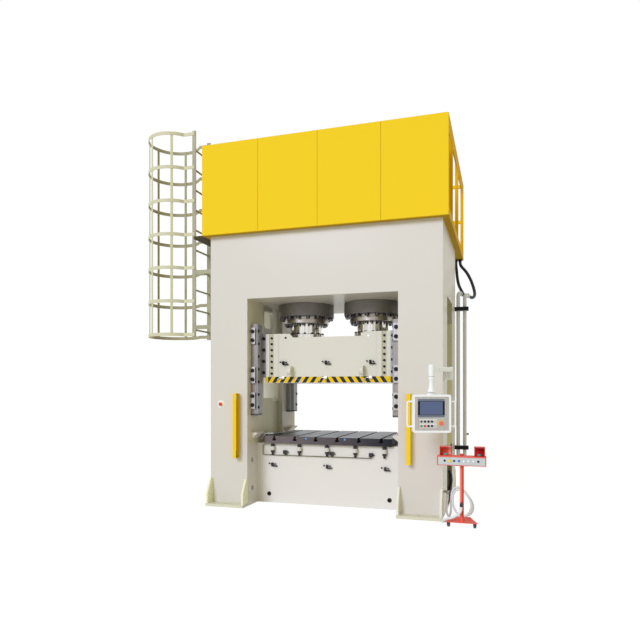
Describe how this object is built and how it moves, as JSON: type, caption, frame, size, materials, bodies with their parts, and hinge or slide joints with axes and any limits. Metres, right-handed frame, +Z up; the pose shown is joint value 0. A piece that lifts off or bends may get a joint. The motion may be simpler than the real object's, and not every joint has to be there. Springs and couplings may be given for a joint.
{
  "type": "hydraulic press",
  "caption": "Straight-side hydraulic press with a sliding ram between two columns, a slotted bolster, a guarded deck, a caged ladder, a swinging operator panel and a two-hand control stand.",
  "frame": {"origin": "on the floor, at the centre of the welded frame and of its four anchor holes", "axes": "+X to the right as seen by the operator, +Y to the rear, +Z up along the slide's stroke"},
  "size_m": [5.1858, 3.5395, 5.638],
  "materials": {
    "frame_paint": "satin",
    "slide_paint": "satin",
    "hazard_yellow": "satin",
    "dark_steel": "satin",
    "cast_grey": "satin",
    "ground_steel": "polished",
    "guide_paint": "satin",
    "shoe_metal": "satin",
    "black_metal": "satin",
    "guard_yellow": "gloss",
    "tank_grey": "satin",
    "motor_blue": "satin",
    "steel_block": "satin",
    "ladder_paint": "satin",
    "pipe_grey": "satin",
    "hose_rubber": "matte",
    "conduit_sleeve": "matte",
    "arm_white": "gloss",
    "panel_white": "gloss",
    "panel_steel": "satin",
    "screen_face": "gloss",
    "stop_plate": "gloss",
    "plastic_red": "gloss",
    "plastic_black": "gloss",
    "plastic_green": "gloss",
    "plastic_blue": "gloss",
    "plastic_yellow": "gloss",
    "plastic_white": "gloss",
    "key_metal": "polished",
    "stand_red": "gloss",
    "stand_panel": "satin",
    "castor_zinc": "satin",
    "castor_tread": "matte"
  },
  "bodies": {
    "press": {"frame": "frame_paint", "bolster": "dark_steel", "bed_fittings": "black_metal", "guide_rails": "guide_paint", "cylinders": "cast_grey", "gland_rings": "ground_steel", "deck": "guard_yellow", "guard_frame": "guard_yellow", "guard_panels": "guard_yellow", "oil_tank": "tank_grey", "power_units": "motor_blue", "valve_block": "steel_block", "ladder": "ladder_paint", "ladder_cage": "ladder_paint", "curtain_guards": "guard_yellow", "column_stop_box": "stop_plate", "return_pipes": "pipe_grey", "pipe_clamps": "black_metal", "hose_inner": "hose_rubber", "hose_outer": "hose_rubber", "conduit": "conduit_sleeve", "pendant_bracket": "arm_white", "stand_base": "stand_red", "stand_box": "stand_red", "stand_face": "stand_panel"},
    "slide": {"slide": "slide_paint", "slide_plate": "hazard_yellow", "slide_shoes": "shoe_metal", "slide_fittings": "black_metal", "plungers": "ground_steel"},
    "pendant_arm": {"pendant_arm": "arm_white"},
    "pendant_panel": {"pendant_hanger": "arm_white", "panel_housing": "panel_white", "panel_face": "panel_steel", "panel_screen": "screen_face"},
    "panel_selector": {"panel_selector": "key_metal"},
    "panel_button_left": {"panel_button_left": "plastic_black"},
    "panel_button_middle": {"panel_button_middle": "plastic_black"},
    "panel_button_right": {"panel_button_right": "plastic_black"},
    "panel_start_button": {"panel_start_button": "plastic_green"},
    "panel_stop_button": {"panel_stop_button": "plastic_red"},
    "panel_lower_button_left": {"panel_lower_button_left": "plastic_black"},
    "panel_lower_button_right": {"panel_lower_button_right": "plastic_black"},
    "panel_emergency_stop": {"panel_emergency_stop": "plastic_red"},
    "stand_selector_left": {"stand_selector_left": "plastic_black"},
    "stand_yellow_stop": {"stand_yellow_stop": "plastic_yellow"},
    "stand_button_black": {"stand_button_black": "plastic_black"},
    "stand_button_blue": {"stand_button_blue": "plastic_blue"},
    "stand_selector_right": {"stand_selector_right": "plastic_white"},
    "stand_button_end": {"stand_button_end": "plastic_black"},
    "palm_button_left": {"palm_button_left": "plastic_green"},
    "stand_emergency_stop": {"stand_emergency_stop": "plastic_red"},
    "palm_button_right": {"palm_button_right": "plastic_green"},
    "column_emergency_stop": {"column_emergency_stop": "plastic_red"},
    "castor_fork_left": {"castor_fork_left": "castor_zinc"},
    "castor_wheel_left": {"castor_wheel_left": "castor_tread"},
    "castor_fork_right": {"castor_fork_right": "castor_zinc"},
    "castor_wheel_right": {"castor_wheel_right": "castor_tread"},
    "castor_fork_rear": {"castor_fork_rear": "castor_zinc"},
    "castor_wheel_rear": {"castor_wheel_rear": "castor_tread"}
  },
  "joints": [
    {"name": "slide_stroke", "type": "slide", "parent": "press", "child": "slide", "axis": [0, 0, 1], "range_m": [-0.6, 0]},
    {"name": "arm_swing", "type": "hinge", "parent": "press", "child": "pendant_arm", "pos_m": [1.767, -0.774, 1.875], "axis": [0, 0, 1], "range_deg": [0, 100]},
    {"name": "panel_swivel", "type": "hinge", "parent": "pendant_arm", "child": "pendant_panel", "pos_m": [1.618, -1.67, 1.8], "axis": [0, 0, 1], "range_deg": [-90, 90]},
    {"name": "panel_selector_turn", "type": "hinge", "parent": "pendant_panel", "child": "panel_selector", "pos_m": [1.50936, -1.74777, 1.3105], "axis": [0.3007, -0.9537, 0], "range_deg": [-45, 45]},
    {"name": "panel_button_left_press", "type": "slide", "parent": "pendant_panel", "child": "panel_button_left", "axis": [0.3007, -0.9537, 0], "range_m": [-0.004, 0], "stiffness_N_per_m": 1200, "springref_m": 0.002},
    {"name": "panel_button_middle_press", "type": "slide", "parent": "pendant_panel", "child": "panel_button_middle", "axis": [0.3007, -0.9537, 0], "range_m": [-0.004, 0], "stiffness_N_per_m": 1200, "springref_m": 0.002},
    {"name": "panel_button_right_press", "type": "slide", "parent": "pendant_panel", "child": "panel_button_right", "axis": [0.3007, -0.9537, 0], "range_m": [-0.004, 0], "stiffness_N_per_m": 1200, "springref_m": 0.002},
    {"name": "panel_start_button_press", "type": "slide", "parent": "pendant_panel", "child": "panel_start_button", "axis": [0.3007, -0.9537, 0], "range_m": [-0.004, 0], "stiffness_N_per_m": 1200, "springref_m": 0.002},
    {"name": "panel_stop_button_press", "type": "slide", "parent": "pendant_panel", "child": "panel_stop_button", "axis": [0.3007, -0.9537, 0], "range_m": [-0.004, 0], "stiffness_N_per_m": 1200, "springref_m": 0.002},
    {"name": "panel_lower_button_left_press", "type": "slide", "parent": "pendant_panel", "child": "panel_lower_button_left", "axis": [0.3007, -0.9537, 0], "range_m": [-0.004, 0], "stiffness_N_per_m": 1200, "springref_m": 0.002},
    {"name": "panel_lower_button_right_press", "type": "slide", "parent": "pendant_panel", "child": "panel_lower_button_right", "axis": [0.3007, -0.9537, 0], "range_m": [-0.004, 0], "stiffness_N_per_m": 1200, "springref_m": 0.002},
    {"name": "panel_emergency_stop_press", "type": "slide", "parent": "pendant_panel", "child": "panel_emergency_stop", "axis": [0.3007, -0.9537, 0], "range_m": [-0.004, 0]},
    {"name": "stand_selector_left_turn", "type": "hinge", "parent": "press", "child": "stand_selector_left", "pos_m": [1.756, -1.465, 0.821], "axis": [0, -1, 0], "range_deg": [-45, 45]},
    {"name": "stand_yellow_stop_press", "type": "slide", "parent": "press", "child": "stand_yellow_stop", "axis": [0, -1, 0], "range_m": [-0.004, 0]},
    {"name": "stand_button_black_press", "type": "slide", "parent": "press", "child": "stand_button_black", "axis": [0, -1, 0], "range_m": [-0.004, 0], "stiffness_N_per_m": 1200, "springref_m": 0.002},
    {"name": "stand_button_blue_press", "type": "slide", "parent": "press", "child": "stand_button_blue", "axis": [0, -1, 0], "range_m": [-0.004, 0], "stiffness_N_per_m": 1200, "springref_m": 0.002},
    {"name": "stand_selector_right_turn", "type": "hinge", "parent": "press", "child": "stand_selector_right", "pos_m": [1.98457, -1.465, 0.821], "axis": [0, -1, 0], "range_deg": [-45, 45]},
    {"name": "stand_button_end_press", "type": "slide", "parent": "press", "child": "stand_button_end", "axis": [0, -1, 0], "range_m": [-0.004, 0], "stiffness_N_per_m": 1200, "springref_m": 0.002},
    {"name": "palm_button_left_press", "type": "slide", "parent": "press", "child": "palm_button_left", "axis": [0, 0, 1], "range_m": [-0.004, 0], "stiffness_N_per_m": 2500, "springref_m": 0.003},
    {"name": "stand_emergency_stop_press", "type": "slide", "parent": "press", "child": "stand_emergency_stop", "axis": [0, 0, 1], "range_m": [-0.004, 0]},
    {"name": "palm_button_right_press", "type": "slide", "parent": "press", "child": "palm_button_right", "axis": [0, 0, 1], "range_m": [-0.004, 0], "stiffness_N_per_m": 2500, "springref_m": 0.003},
    {"name": "column_emergency_stop_press", "type": "slide", "parent": "press", "child": "column_emergency_stop", "axis": [0, -1, 0], "range_m": [-0.004, 0]},
    {"name": "castor_fork_left_swivel", "type": "hinge", "parent": "press", "child": "castor_fork_left", "pos_m": [1.7985, -1.427, 0.063], "axis": [0, 0, 1], "continuous": true},
    {"name": "castor_wheel_left_roll", "type": "hinge", "parent": "castor_fork_left", "child": "castor_wheel_left", "pos_m": [1.7985, -1.411, 0.025], "axis": [1, 0, 0], "continuous": true},
    {"name": "castor_fork_right_swivel", "type": "hinge", "parent": "press", "child": "castor_fork_right", "pos_m": [2.1135, -1.427, 0.063], "axis": [0, 0, 1], "continuous": true},
    {"name": "castor_wheel_right_roll", "type": "hinge", "parent": "castor_fork_right", "child": "castor_wheel_right", "pos_m": [2.1135, -1.411, 0.025], "axis": [1, 0, 0], "continuous": true},
    {"name": "castor_fork_rear_swivel", "type": "hinge", "parent": "press", "child": "castor_fork_rear", "pos_m": [1.956, -1.157, 0.063], "axis": [0, 0, 1], "continuous": true},
    {"name": "castor_wheel_rear_roll", "type": "hinge", "parent": "castor_fork_rear", "child": "castor_wheel_rear", "pos_m": [1.956, -1.141, 0.025], "axis": [1, 0, 0], "continuous": true}
  ]
}
